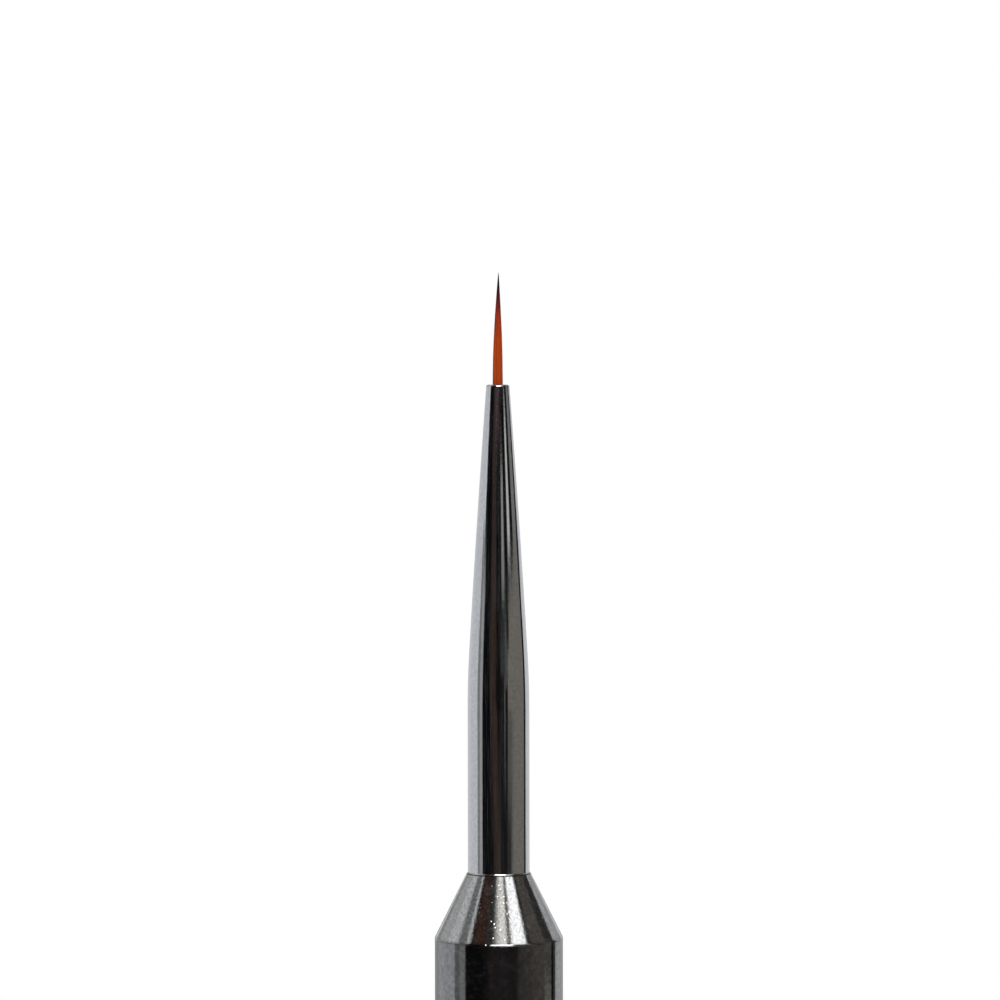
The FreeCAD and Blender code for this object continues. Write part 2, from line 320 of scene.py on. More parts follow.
def rounded_corner(
    before: np.ndarray, corner: np.ndarray, after: np.ndarray, radius: float
) -> np.ndarray:
    """Points round a corner: an arc that both edges are tangent to.

    With turn the angle between the edges' directions, the arc leaves each edge
    radius * tan(turn / 2) from the corner. Its centre lies on the bisector, and its points are
    the first tangent point turned about that centre in equal steps.

    Args:
        before: a point on the edge that comes in.
        corner: the corner itself.
        after: a point on the edge that goes out.
        radius: the rounding, in mm.

    Returns:
        The arc's points, from the edge that comes in to the edge that goes out.
    """
    into = (corner - before) / np.hypot(*(corner - before))
    out = (after - corner) / np.hypot(*(after - corner))
    turn = math.atan2(into[0] * out[1] - into[1] * out[0], into @ out)
    back = radius * math.tan(abs(turn) / 2)
    centre = corner + (out - into) / np.hypot(*(out - into)) * radius / math.cos(turn / 2)
    steps = max(3, math.ceil(abs(math.degrees(turn)) / ARC_STEP))
    angle = np.linspace(0, turn, steps + 1)
    cos, sin = np.cos(angle), np.sin(angle)
    arm = corner - into * back - centre
    return centre + np.stack([arm[0] * cos - arm[1] * sin, arm[0] * sin + arm[1] * cos], 1)


def section_points(corners: Sequence[Corner], closed: bool, spacing: float = 2.0) -> np.ndarray:
    """The points of a whole section, counter-clockwise as radius against height.

    Every edge runs from the end of one corner's arc to the start of the next one's. A point
    HOLD in from each end keeps a long face true right up to its rounded edges when it is
    shaded smooth.

    Args:
        corners: the section's corners in order.
        closed: True if the last corner joins the first, as in a tube.
        spacing: the largest distance between two points of a straight edge, in mm.

    Returns:
        The points, radius and height in mm.
    """
    places = np.array([(c.radius, c.height) for c in corners])
    count = len(corners)
    edges = [
        bowed_edge(places[i], places[(i + 1) % count], corners[i].belly, spacing)
        for i in range(count if closed else count - 1)
    ]
    arcs = [
        rounded_corner(edges[i - 1][-2], places[i], edges[i][1], corner.rounding)
        if corner.rounding > 0
        else places[i][None]
        for i, corner in enumerate(corners)
    ]
    points: list[np.ndarray] = []
    for i, edge in enumerate(edges):
        start, end = arcs[i][-1], arcs[(i + 1) % count][0]
        way = (edge[-1] - edge[0]) / np.hypot(*(edge[-1] - edge[0]))
        middle = edge[((edge - start) @ way > 2 * HOLD) & ((end - edge) @ way > 2 * HOLD)]
        if (end - start) @ way > 4 * HOLD:
            leaving = (edge[1] - edge[0]) / np.hypot(*(edge[1] - edge[0]))
            arriving = (edge[-1] - edge[-2]) / np.hypot(*(edge[-1] - edge[-2]))
            middle = np.vstack([start + leaving * HOLD, middle, end - arriving * HOLD])
        points += [arcs[i], middle]
    if not closed:
        points.append(arcs[-1])
    return np.vstack(points)


def turned_mesh(
    name: str, section: np.ndarray, closed: bool, around: int = 288
) -> bpy.types.Object:
    """Turns a section about the brush's axis into a closed skin.

    Ring i at angle a is (radius_i * cos a, radius_i * sin a, height_i). A quad joins each pair
    of neighbours on neighbouring rings. Where an open section meets the axis, one point and a
    fan of triangles take the ring's place. The attribute "lay" unrolls the skin for patterns:
    the direction from the axis, on a circle as wide as the piece, and the length along the
    section.

    Args:
        name: the object's name.
        section: radius and height of each ring, in mm, counter-clockwise.
        closed: True for a tube's section, False for one that starts and ends on the axis.
        around: the number of quads round the piece.

    Returns:
        The new object, at the origin, with its place in its mesh.
    """
    rings = section if closed else section[1:-1]
    angle = np.arange(around) * 2 * math.pi / around
    circle = np.stack([np.cos(angle), np.sin(angle)], 1)
    along = np.concatenate([[0], np.cumsum(np.hypot(*np.diff(rings, axis=0).T))])
    count = len(rings)
    places = np.empty((count, around, 3))
    places[..., :2] = rings[:, None, :1] * circle[None]
    places[..., 2] = rings[:, None, 1]
    lay = np.empty((count, around, 3))
    lay[..., :2] = circle[None] * rings[:, 0].max()
    lay[..., 2] = along[:, None]
    low = np.arange(count if closed else count - 1)
    high = (low + 1) % count
    left = np.arange(around)
    right = (left + 1) % around
    corner = [
        (ring[:, None] * around + column[None]).ravel()
        for ring, column in ((low, left), (low, right), (high, right), (high, left))
    ]
    faces: list[list[int]] = np.stack(corner, 1).tolist()
    vertices, lays = places.reshape(-1, 3), lay.reshape(-1, 3)
    if not closed:
        poles = np.array([[0, 0, section[0, 1]], [0, 0, section[-1, 1]]])
        vertices = np.vstack([vertices, poles])
        lays = np.vstack([lays, [[0, 0, -section[1, 0]], [0, 0, along[-1] + section[-2, 0]]]])
        first, last = count * around, count * around + 1
        top = (count - 1) * around
        faces += np.stack([right, left, np.full(around, first)], 1).tolist()
        faces += np.stack([top + left, top + right, np.full(around, last)], 1).tolist()
    mesh = bpy.data.meshes.new(name)
    mesh.from_pydata((vertices * MM).tolist(), [], faces)
    attribute = mesh.attributes.new("lay", "FLOAT_VECTOR", "POINT")
    attribute.data.foreach_set("vector", (lays * MM).astype(np.float32).ravel())
    return shaded_object(name, mesh)


def shaded_object(
    name: str, mesh: bpy.types.Mesh, sharp_degrees: float = 30.0
) -> bpy.types.Object:
    """Puts a mesh in the scene, shaded smooth but for its sharp edges.

    Args:
        name: the object's name.
        mesh: the mesh.
        sharp_degrees: edges that turn by more than this stay sharp.

    Returns:
        The new object.
    """
    mesh.polygons.foreach_set("use_smooth", np.ones(len(mesh.polygons), bool))
    mesh.set_sharp_from_angle(angle=math.radians(sharp_degrees))
    mesh.update()
    return add_object(name, mesh)


# --------------------------------------------------------------------------------------
# Finishes
# --------------------------------------------------------------------------------------


class Lay(Enum):
    """Which way the marks of a metal's last operation run."""

    DRAWN = "along the piece, as a die leaves them"
    TURNED = "round the piece, as a lathe tool leaves them"


@dataclass(frozen=True)
class Seam:
    """A seam between two pieces, with the painted shade that darkens the plate next to it.

    Attributes:
        height: its height above the tail face, in mm.
        reach: how far the painted shade reaches up and down from it, in mm.
        shine: how much of the plate's own colour is left at the seam under the painted shade, from
            0 to 1.
    """

    height: float
    reach: float = 0.06
    shine: float = 0.0


@dataclass(frozen=True)
class Plate:
    """Bright nickel-chrome plate on brass, over the marks that the brass was left with.

    Plate copies the surface under it, so tool marks and grain show as a fine unevenness in
    sharp reflections and as a faint mottle in even ones. Dust and handling leave a thin haze
    that lifts its blacks. The colour is chromium's own, a little cooler than grey.

    Attributes:
        name: the material's name.
        lay: which way the tool marks run.
        colour: what the plate reflects, face on.
        roughness: blur of the reflections.
        smudge_size: size of the patches where they are sharper or more blurred, in mm.
        smudge_blur: the blur in the sharpest and the dullest patch, as shares of roughness.
        mark_width: spacing of the tool marks, in mm.
        mark_length: length of the tool marks, in mm.
        mark_depth: their height, in micrometres.
        grain_size: size of the plate's own unevenness, in mm, drawn coarse enough to show.
        grain_depth: its height, in micrometres.
        mottle: how much the grain's hollows dull the plate, from 0 to 1.
        hollow_shine: how much of the plate's shine a fully dulled hollow has left.
        haze: most that the dust covers, from 0 to 1.
        dust_size: size of the dust's patches, in mm.
        drawn_dust: the same on a drawn piece, in patches to a tool mark.
        pit_spacing: average distance between pits, in mm.
        pit_radius: their radius, in mm.
        pit_depth: their depth, in micrometres.
        scratch_width: width of the slanting wiping scratches, in mm.
        scratch_length: their length, in mm.
        scratch_depth: their depth, in micrometres.
        scratch_slant: how they are turned about x, y and z, in radians.
        seams: the seams at this piece's edges, where shade is painted.
        seam_shade: colour of the painted shade at the seams.
    """

    name: str
    lay: Lay
    colour: str = "#c2c5c9"
    roughness: float = 0.05
    smudge_size: float = 3.5
    smudge_blur: Pair = (0.8, 1.5)
    mark_width: float = 0.12
    mark_length: float = 9.0
    mark_depth: float = 0.5
    grain_size: float = 0.3
    grain_depth: float = 0.5
    mottle: float = 0.05
    hollow_shine: float = 0.3
    haze: float = 0.05
    dust_size: float = 0.8
    drawn_dust: float = 1.7
    pit_spacing: float = 1.5
    pit_radius: float = 0.05
    pit_depth: float = 3.0
    scratch_width: float = 0.1
    scratch_length: float = 1.5
    scratch_depth: float = 0.3
    scratch_slant: tuple[float, float, float] = (0.4, -0.7, 0.0)
    seams: tuple[Seam, ...] = ()
    # painted shade: the dark colour mixed into the plate at its seams
    seam_shade: str = "#332d2a"

    def relief(self, tree: Tree, unrolled: Socket, place: Socket, grain: Socket) -> Socket:
        """Stacks the tool marks, the grain, the scratches and the pits on each other.

        Args:
            tree: the node tree.
            unrolled: coordinates stretched along the tool marks.
            place: the Object coordinates.
            grain: the grain's height.

        Returns:
            The normal's socket.
        """
        across, along = per(self.scratch_width), per(self.scratch_length)
        wiped = add_node(
            tree,
            "ShaderNodeMapping",
            {"Vector": place, "Rotation": self.scratch_slant, "Scale": (across, across, along)},
        ).outputs[0]
        cells = add_node(
            tree, "ShaderNodeTexVoronoi", {"Vector": place, "Scale": per(self.pit_spacing)}
        ).outputs["Distance"]
        layers = (
            (noise(tree, unrolled, 1.0, 4.0, 0.6), self.mark_depth),
            (grain, self.grain_depth),
            (noise(tree, wiped, 1.0, 3.0, 0.7), self.scratch_depth),
            (remap(tree, cells, (0.0, self.pit_radius / self.pit_spacing)), self.pit_depth),
        )
        normal = None
        for height, micrometres in layers:
            normal = bump(tree, height, micrometres * MM, under=normal)
        return normal

    def shade_seams(self, tree: Tree, place: Socket, colour: Socket) -> Socket:
        """Paints shade into a colour towards each seam: a darker band where two pieces meet.

        Args:
            tree: the node tree.
            place: the Object coordinates.
            colour: the colour without the painted shade.

        Returns:
            The colour with its painted shade at the seams.
        """
        height = add_node(tree, "ShaderNodeSeparateXYZ", {0: place}).outputs["Z"]
        for seam in self.seams:
            away = maths(tree, "ABSOLUTE", maths(tree, "SUBTRACT", height, seam.height * MM))
            unshaded = remap(tree, away, (0.0, seam.reach * MM), (seam.shine, 1.0))
            # painted shade: the plate's colour is mixed towards a dark colour near each seam
            colour = mix_colours(tree, unshaded, to_linear(self.seam_shade), colour)
        return colour

    def build(self) -> bpy.types.Material:
        """Makes the material."""
        material, tree = new_material(self.name)
        lay = add_node(tree, "ShaderNodeAttribute", attribute_name="lay").outputs["Vector"]
        place = add_node(tree, "ShaderNodeTexCoord").outputs["Object"]
        drawn = self.lay is Lay.DRAWN
        across, along = per(self.mark_width), per(self.mark_length)
        stretch = (across, across, along) if drawn else (along, along, across)
        unrolled = add_node(tree, "ShaderNodeMapping", {"Vector": lay, "Scale": stretch}).outputs[0]
        grain = noise(tree, place, per(self.grain_size), 3.0, 0.6)
        hollows = remap(tree, grain, HOLLOW_SPAN, (self.mottle, 0.0), smooth=False)
        clear = to_linear(self.colour)
        dulled = (*(self.hollow_shine * part for part in clear[:3]), 1.0)
        tone = mix_colours(tree, hollows, clear, dulled)
        dust_place, dust_scale = (
            (unrolled, self.drawn_dust) if drawn else (place, per(self.dust_size))
        )
        dust = noise(tree, dust_place, dust_scale, 5.0, 0.75)
        smudges = noise(tree, place, per(self.smudge_size), 3.0)
        sharp, blurred = (share * self.roughness for share in self.smudge_blur)
        finish_principled(
            tree,
            {
                "Base Color": self.shade_seams(tree, place, tone),
                "Metallic": remap(tree, dust, DUST_SPAN, (1.0, 1.0 - self.haze)),
                "Roughness": remap(tree, smudges, SMUDGE_SPAN, (sharp, blurred), smooth=False),
                "Normal": self.relief(tree, unrolled, place, grain),
            },
        )
        return material


@dataclass(frozen=True)
class Filament:
    """Tapered synthetic filament, extruded and dyed, bundled dry.

    The dye is a red-brown that darkens to a near-black point. Each filament is glossy along
    its side and a little lighter or darker than its neighbours.

    Attributes:
        name: the material's name.
        dye: share of the free length from the ferrule, and the colour there.
        variation: how much lighter or darker a filament may be, as a share.
        roughness: blur of the filament's gloss.
        gloss: its specular level.
    """

    name: str = "dyed_tapered_filament"
    dye: tuple[tuple[float, str], ...] = (
        (0.0, "#7d2c02"),
        (0.33, "#802b02"),
        (0.6, "#68200c"),
        (0.71, "#4c0d09"),
        (0.86, "#150407"),
    )
    variation: float = 0.25
    roughness: float = 0.45
    gloss: float = 0.12

    def build(self) -> bpy.types.Material:
        """Makes the material, which reads the filament's "rise" and "strand" attributes."""
        material, tree = new_material(self.name)
        rise, strand = (
            add_node(tree, "ShaderNodeAttribute", attribute_name=name).outputs["Fac"]
            for name in ("rise", "strand")
        )
        ramp = add_node(tree, "ShaderNodeValToRGB", {"Fac": rise})
        elements = ramp.color_ramp.elements
        while len(elements) < len(self.dye):
            elements.new(1.0)
        for element, (place, colour) in zip(elements, self.dye):
            element.position = place
            element.color = to_linear(colour)
        light = remap(
            tree, strand, (0.0, 1.0), (1 - self.variation, 1 + self.variation), smooth=False
        )
        varied = add_node(
            tree, "ShaderNodeHueSaturation", {"Value": light, "Color": ramp.outputs["Color"]}
        )
        finish_principled(
            tree,
            {
                "Base Color": varied.outputs[0],
                "Roughness": self.roughness,
                "IOR": 1.5,
                "Specular IOR Level": self.gloss,
            },
        )
        return material


@dataclass(frozen=True)
class Resin:
    """Cast two-part epoxy, set amber and glossy, with a few tiny bubbles near its skin.

    Attributes:
        name: the material's name.
        colour: the resin's colour.
        bubble_colour: colour of a bubble's middle.
        bubble_size: distance between bubbles, in mm.
        bubble_depth: how far one dents the skin, in mm.
    """

    name: str = "cast_epoxy_resin"
    colour: str = "#c08a3e"
    bubble_colour: str = "#e0b878"
    bubble_size: float = 0.4
    bubble_depth: float = 0.01

    def build(self) -> bpy.types.Material:
        """Makes the material."""
        material, tree = new_material(self.name)
        place = add_node(tree, "ShaderNodeTexCoord").outputs["Object"]
        bubbles = add_node(
            tree, "ShaderNodeTexVoronoi", {"Vector": place, "Scale": per(self.bubble_size)}
        ).outputs["Distance"]
        finish_principled(
            tree,
            {
                "Base Color": mix_colours(
                    tree, bubbles, to_linear(self.bubble_colour), to_linear(self.colour)
                ),
                "Roughness": 0.18,
                "IOR": 1.55,
                "Normal": bump(tree, bubbles, self.bubble_depth, 0.5),
            },
        )
        return material


@dataclass(frozen=True)
class WaxedThread:
    """Waxed polyester thread, twisted, with a dull sheen, a fine diagonal ply and shade painted
    between the plies.

    Attributes:
        name: the material's name.
        colour: the thread's colour.
        ply_shade_colour: painted shade between two plies, darker than the thread.
        ply: width of one ply, in mm.
        ply_depth: how far a ply stands out, in mm.
    """

    name: str = "waxed_polyester_thread"
    colour: str = "#d8d2c2"
    ply_shade_colour: str = "#a89f8a"
    ply: float = 0.05
    ply_depth: float = 0.01

    def build(self) -> bpy.types.Material:
        """Makes the material."""
        material, tree = new_material(self.name)
        place = add_node(tree, "ShaderNodeTexCoord").outputs["Object"]
        plies = add_node(
            tree,
            "ShaderNodeTexWave",
            {"Vector": place, "Scale": per(self.ply) / 10, "Distortion": 1.5},
            bands_direction="DIAGONAL",
        ).outputs["Fac"]
        finish_principled(
            tree,
            {
                # painted shade: the thread darkens between its plies
                "Base Color": mix_colours(
                    tree, plies, to_linear(self.ply_shade_colour), to_linear(self.colour)
                ),
                "Roughness": 0.55,
                "Sheen Weight": 0.2,
                "Normal": bump(tree, plies, self.ply_depth, 0.6),
            },
        )
        return material


@dataclass(frozen=True)
class TurnedBirch:
    """Birch dowel, turned and left bare: pale, close-grained, with faint long figure.

    Attributes:
        name: the material's name.
        early: colour of the early wood.
        late: colour of the late wood.
        ring_width: width of a growth ring, in mm.
        figure: a ring's width as a share of its length along the dowel.
        grain_depth: height of the grain, in mm.
    """

    name: str = "turned_birch"
    early: str = "#dcc39a"
    late: str = "#b8925f"
    ring_width: float = 1.4
    figure: float = 0.06
    grain_depth: float = 0.02

    def build(self) -> bpy.types.Material:
        """Makes the material."""
        material, tree = new_material(self.name)
        place = add_node(tree, "ShaderNodeTexCoord").outputs["Object"]
        stretched = add_node(
            tree, "ShaderNodeMapping", {"Vector": place, "Scale": (1.0, 1.0, self.figure)}
        ).outputs[0]
        rings = noise(tree, stretched, per(self.ring_width), 5.0)
        finish_principled(
            tree,
            {
                "Base Color": mix_colours(tree, rings, to_linear(self.early), to_linear(self.late)),
                "Roughness": 0.6,
                "Normal": bump(tree, rings, self.grain_depth, 0.5),
            },
        )
        return material


# --------------------------------------------------------------------------------------
# The brush
# --------------------------------------------------------------------------------------


@dataclass(frozen=True)
class Levels:
    """Where a CAD node lies along the brush's axis, in mm.

    Attributes:
        low: its lowest height.
        high: its highest height.
        radius: its largest distance from the axis.
    """

    low: float
    high: float
    radius: float

    @classmethod
    def of(cls, node: str) -> "Levels":
        """Reads a CAD node's box.

        Args:
            node: the node's name.

        Returns:
            The node's levels.
        """
        low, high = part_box(node)
        return cls(round(low.z / MM, 3), round(high.z / MM, 3), round(high.x / MM, 3))


def dress(node: str, material: bpy.types.Material) -> None:
    """Gives a CAD node that stays in view a material.

    Args:
        node: the node's name.
        material: its new material.
    """
    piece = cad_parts[node]
    if not piece.material_slots:
        piece.data.materials.append(material)
    for material_slot in piece.material_slots:
        material_slot.material = material
    log.info("%s: dressed as %s", node, material.name)


def turn_piece(
    name: str, corners: Sequence[Corner], closed: bool, finish: Plate, node: str
) -> None:
    """Turns a rigid piece, plates it and puts it in a CAD node's place on the handle.

    Args:
        name: the piece's name.
        corners: its section.
        closed: True for a tube, False for a piece that starts and ends on the axis.
        finish: its plate.
        node: the CAD node that it stands for.
    """
    piece = turned_mesh(name, section_points(corners, closed), closed)
    piece.data.materials.append(finish.build())
    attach(piece, "handle")
    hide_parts(node)
    log.info("%s: %d faces, for %s", piece.name, len(piece.data.polygons), node)


@dataclass
class Ferrule:
    """The drawn tube that holds the hair: a taper, a parallel stretch and a flared foot.

    Attributes:
        parallel_radius: outside of the parallel stretch, in mm.
        wall: its wall, in mm.
        mouth_radius: outside of the mouth, in mm.
        mouth_bore: inside radius of the mouth, in mm.
        lip_length: straight bore behind the mouth, in mm.
        taper_length: mouth to the parallel stretch, in mm.
        taper_arc: radius of the arc that the taper's side follows, in mm.
        blend_length: soft bend between the parallel stretch and the taper, in mm.
        blend_arc: radius of that bend, in mm.
        foot_radius: outside of the foot, in mm.
        foot_length: length of the flared foot, in mm.
        foot_rounding: rounding where the flare starts, in mm.
        outer_lip: rounding of the mouth's outer edge, in mm.
        inner_lip: rounding of the mouth's inner edge, in mm.
        edge: broken edge at the seam, in mm.
    """

    parallel_radius: float = 2.4
    wall: float = 0.3
    mouth_radius: float = 0.9
    mouth_bore: float = 0.5
    lip_length: float = 1.5
    taper_length: float = 25.37
    taper_arc: float = 1300.0
    blend_length: float = 4.62
    blend_arc: float = 77.0
    foot_radius: float = 2.5
    foot_length: float = 0.12
    foot_rounding: float = 0.1
    outer_lip: float = 0.15
    inner_lip: float = 0.12
    edge: float = 0.05

    def section(self) -> list[Corner]:
        """The wall's section, from the foot up the outside and back down the bore."""
        place = Levels.of("ferrule")
        bore = self.parallel_radius - self.wall
        foot_top = place.low + self.foot_length
        taper_end = place.high - self.taper_length
        blend_end = taper_end + self.blend_length
        blend_radius = self.parallel_radius - self.blend_length**2 / (2 * self.blend_arc)
        taper_belly = (place.high - blend_end) ** 2 / (8 * self.taper_arc)
        return [
            Corner(self.foot_radius, place.low, self.edge),
            Corner(self.parallel_radius, foot_top, self.foot_rounding),
            Corner(
                self.parallel_radius, taper_end, belly=self.blend_length**2 / (8 * self.blend_arc)
            ),
            Corner(blend_radius, blend_end, belly=taper_belly),
            Corner(self.mouth_radius, place.high, self.outer_lip),
            Corner(self.mouth_bore, place.high, self.inner_lip),
            Corner(self.mouth_bore, place.high - self.lip_length),
            Corner(bore, taper_end),
            Corner(bore, foot_top),
            Corner(self.foot_radius - self.wall, place.low),
        ]

    def build(self) -> None:
        """Makes the tube, dresses it and puts it on the handle."""
        finish = Plate(
            "drawn_brass_bright_plate",
            Lay.DRAWN,
            roughness=0.04,
            mark_depth=2.6,
            grain_size=0.28,
            grain_depth=0.9,
            mottle=0.22,
            haze=0.03,
            pit_spacing=2.0,
            pit_radius=0.06,
            pit_depth=4.0,
            # painted shade: a dark band on the plate at the seam under the ferrule's foot
            seams=(Seam(Levels.of("ferrule").low),),
        )
        turn_piece("ferrule_tube", self.section(), True, finish, "ferrule")


@dataclass
class Handle:
    """Everything behind the ferrule: nose cone, barrel, wooden core, tail plug and glue.

    Attributes:
        wall: the barrel's wall, in mm.
        fit_gap: radial gap of a glued fit, in mm.
        cone_tip: radius under the ferrule's foot, in mm.
        cone_length: length of the cone, in mm.
        land: parallel land at the cone's base, in mm.
        cone_rounding: rounding between the cone and its land, in mm.
        tenon_radius: radius of the tenon inside the ferrule, in mm.
        pin_bore: radius of the bores that take the core's pins, in mm.
        pin_depth: depth of those bores from the spigots' ends, in mm.
        drill_point: half the angle of their drilled ends, in degrees.
        lead: chamfer on the glued ends, in mm.
        groove_width: width of a glue groove, in mm.
        groove_depth: its depth, in mm.
        groove_pitch: spacing of the glue grooves, in mm.
        groove_start: shank's start to its first groove, in mm.
        tail_length: length of the tail plug outside the barrel, in mm.
        tail_rounding: rounding of the tail's rim, in mm.
        edge: edges broken at the seams, in mm.
    """

    wall: float = 0.7
    fit_gap: float = 0.02
    cone_tip: float = 2.5
    cone_length: float = 5.06
    land: float = 0.06
    cone_rounding: float = 0.2
    tenon_radius: float = 2.08
    pin_bore: float = 2.52
    pin_depth: float = 8.2
    drill_point: float = 59.0
    lead: float = 0.4
    groove_width: float = 1.2
    groove_depth: float = 0.25
    groove_pitch: float = 3.6
    groove_start: float = 2.4
    tail_length: float = 3.0
    tail_rounding: float = 1.2
    edge: float = 0.05

    def shank(self, radius: float, start: float, end: float, first: float) -> list[Corner]:
        """The side of a glued shank, from its lower end to its upper, with two glue grooves.

        Args:
            radius: the shank's radius, in mm.
            start: height of its lower end, in mm.
            end: height of its upper end, in mm.
            first: lowest height of the lower groove, in mm.

        Returns:
            The corners, both ends among them.
        """
        floor = radius - self.groove_depth
        corners = [Corner(radius, start)]
        for low in (first, first + self.groove_pitch):
            high = low + self.groove_width
            corners += [Corner(radius, low), Corner(floor, low)]
            corners += [Corner(floor, high), Corner(radius, high)]
        return [*corners, Corner(radius, end)]

    def nose_section(self) -> list[Corner]:
        """Half of the nose cone's section, from its drilled bore to the top of its tenon."""
        place = Levels.of("nose_cone")
        shoulder = Levels.of("barrel").high
        seam = shoulder + self.cone_length
        spigot = place.radius - self.wall - self.fit_gap
        bore_end = place.low + self.pin_depth
        tip = bore_end + self.pin_bore / math.tan(math.radians(self.drill_point))
        return [
            Corner(0, tip),
            Corner(self.pin_bore, bore_end),
            Corner(self.pin_bore, place.low),
            Corner(spigot - self.lead, place.low),
            *self.shank(spigot, place.low + self.lead, shoulder, place.low + self.groove_start),
            Corner(place.radius, shoulder),
            Corner(place.radius, shoulder + self.land, self.cone_rounding),
            Corner(self.cone_tip, seam, self.edge),
            *self.shank(self.tenon_radius, seam, place.high - self.lead, seam + self.groove_start),
            Corner(self.tenon_radius - self.lead, place.high),
            Corner(0, place.high),
        ]

    def barrel_section(self) -> list[Corner]:
        """The barrel wall's section, from its rear edge up the outside and down the bore."""
        place = Levels.of("barrel")
        bore = place.radius - self.wall
        return [
            Corner(place.radius, place.low, self.edge),
            Corner(place.radius, place.high, self.edge),
            Corner(bore, place.high, self.edge),
            Corner(bore, place.low, self.edge),
        ]

    def tail_section(self) -> list[Corner]:
        """Half of the tail plug's section, from its face to its drilled bore."""
        place = Levels.of("tail_plug")
        spigot = place.radius - self.wall - self.fit_gap
        bore_end = place.high - self.pin_depth
        tip = bore_end - self.pin_bore / math.tan(math.radians(self.drill_point))
        lip = self.tail_length
        return [
            Corner(0, place.low),
            Corner(place.radius, place.low, self.tail_rounding),
            Corner(place.radius, lip, self.edge),
            *self.shank(spigot, lip, place.high - self.lead, lip + self.groove_start),
            Corner(spigot - self.lead, place.high),
            Corner(self.pin_bore, place.high),
            Corner(self.pin_bore, bore_end),
            Corner(0, tip),
        ]

    def build(self) -> None:
        """Makes the three metal pieces and dresses the core and the glue."""
        seam = Levels.of("ferrule").low
        front, rear = Levels.of("barrel").high, Levels.of("barrel").low
        turned = Plate(
            "turned_brass_bright_plate",
            Lay.TURNED,
            roughness=0.06,
            mark_width=0.10,
            mark_length=2.0,
            mark_depth=1.2,
            grain_size=0.22,
            grain_depth=5.5,
            mottle=0.50,
            haze=0.03,
            pit_spacing=0.42,
            pit_radius=0.08,
            pit_depth=9.0,
            scratch_depth=2.0,
            # painted shade: a dark band at the ferrule's seam, and a broad softer one down to the
            # barrel
            seams=(Seam(seam), Seam(front, reach=0.26, shine=0.5)),
        )
        polished = Plate(
            "polished_tube_bright_plate",
            Lay.TURNED,
            colour="#8f9193",
            roughness=0.08,
            mark_width=0.14,
            mark_length=3.0,
            mark_depth=0.6,
            grain_size=0.38,
            grain_depth=2.2,
            mottle=0.50,
            haze=0.02,
            pit_spacing=1.0,
            pit_radius=0.05,
            pit_depth=4.0,
            # painted shade: dark bands at both ends of the barrel
            seams=(Seam(front), Seam(rear)),
        )
        dished = replace(
            # painted shade: a dark band at the tail's seam with the barrel
            polished, name="turned_tail_bright_plate", mark_depth=2.0, seams=(Seam(rear),)
        )
        for name, corners, closed, finish, node, slot in (
            ("nose_turning", self.nose_section(), False, turned, "nose_cone", "plated_nose"),
            ("barrel_tube", self.barrel_section(), True, polished, "barrel", "plated_barrel"),
            ("tail_turning", self.tail_section(), False, dished, "tail_plug", "plated_tail"),
        ):
            turn_piece(name, corners, closed, finish, node)
        dress("core_rod", TurnedBirch().build())
        glue = Resin("two_part_glue", "#9a8a66").build()
        for fit in ("ferrule", "nose", "tail"):
            for side in ("rear", "front"):
                dress(f"{fit}_glue_{side}", glue)


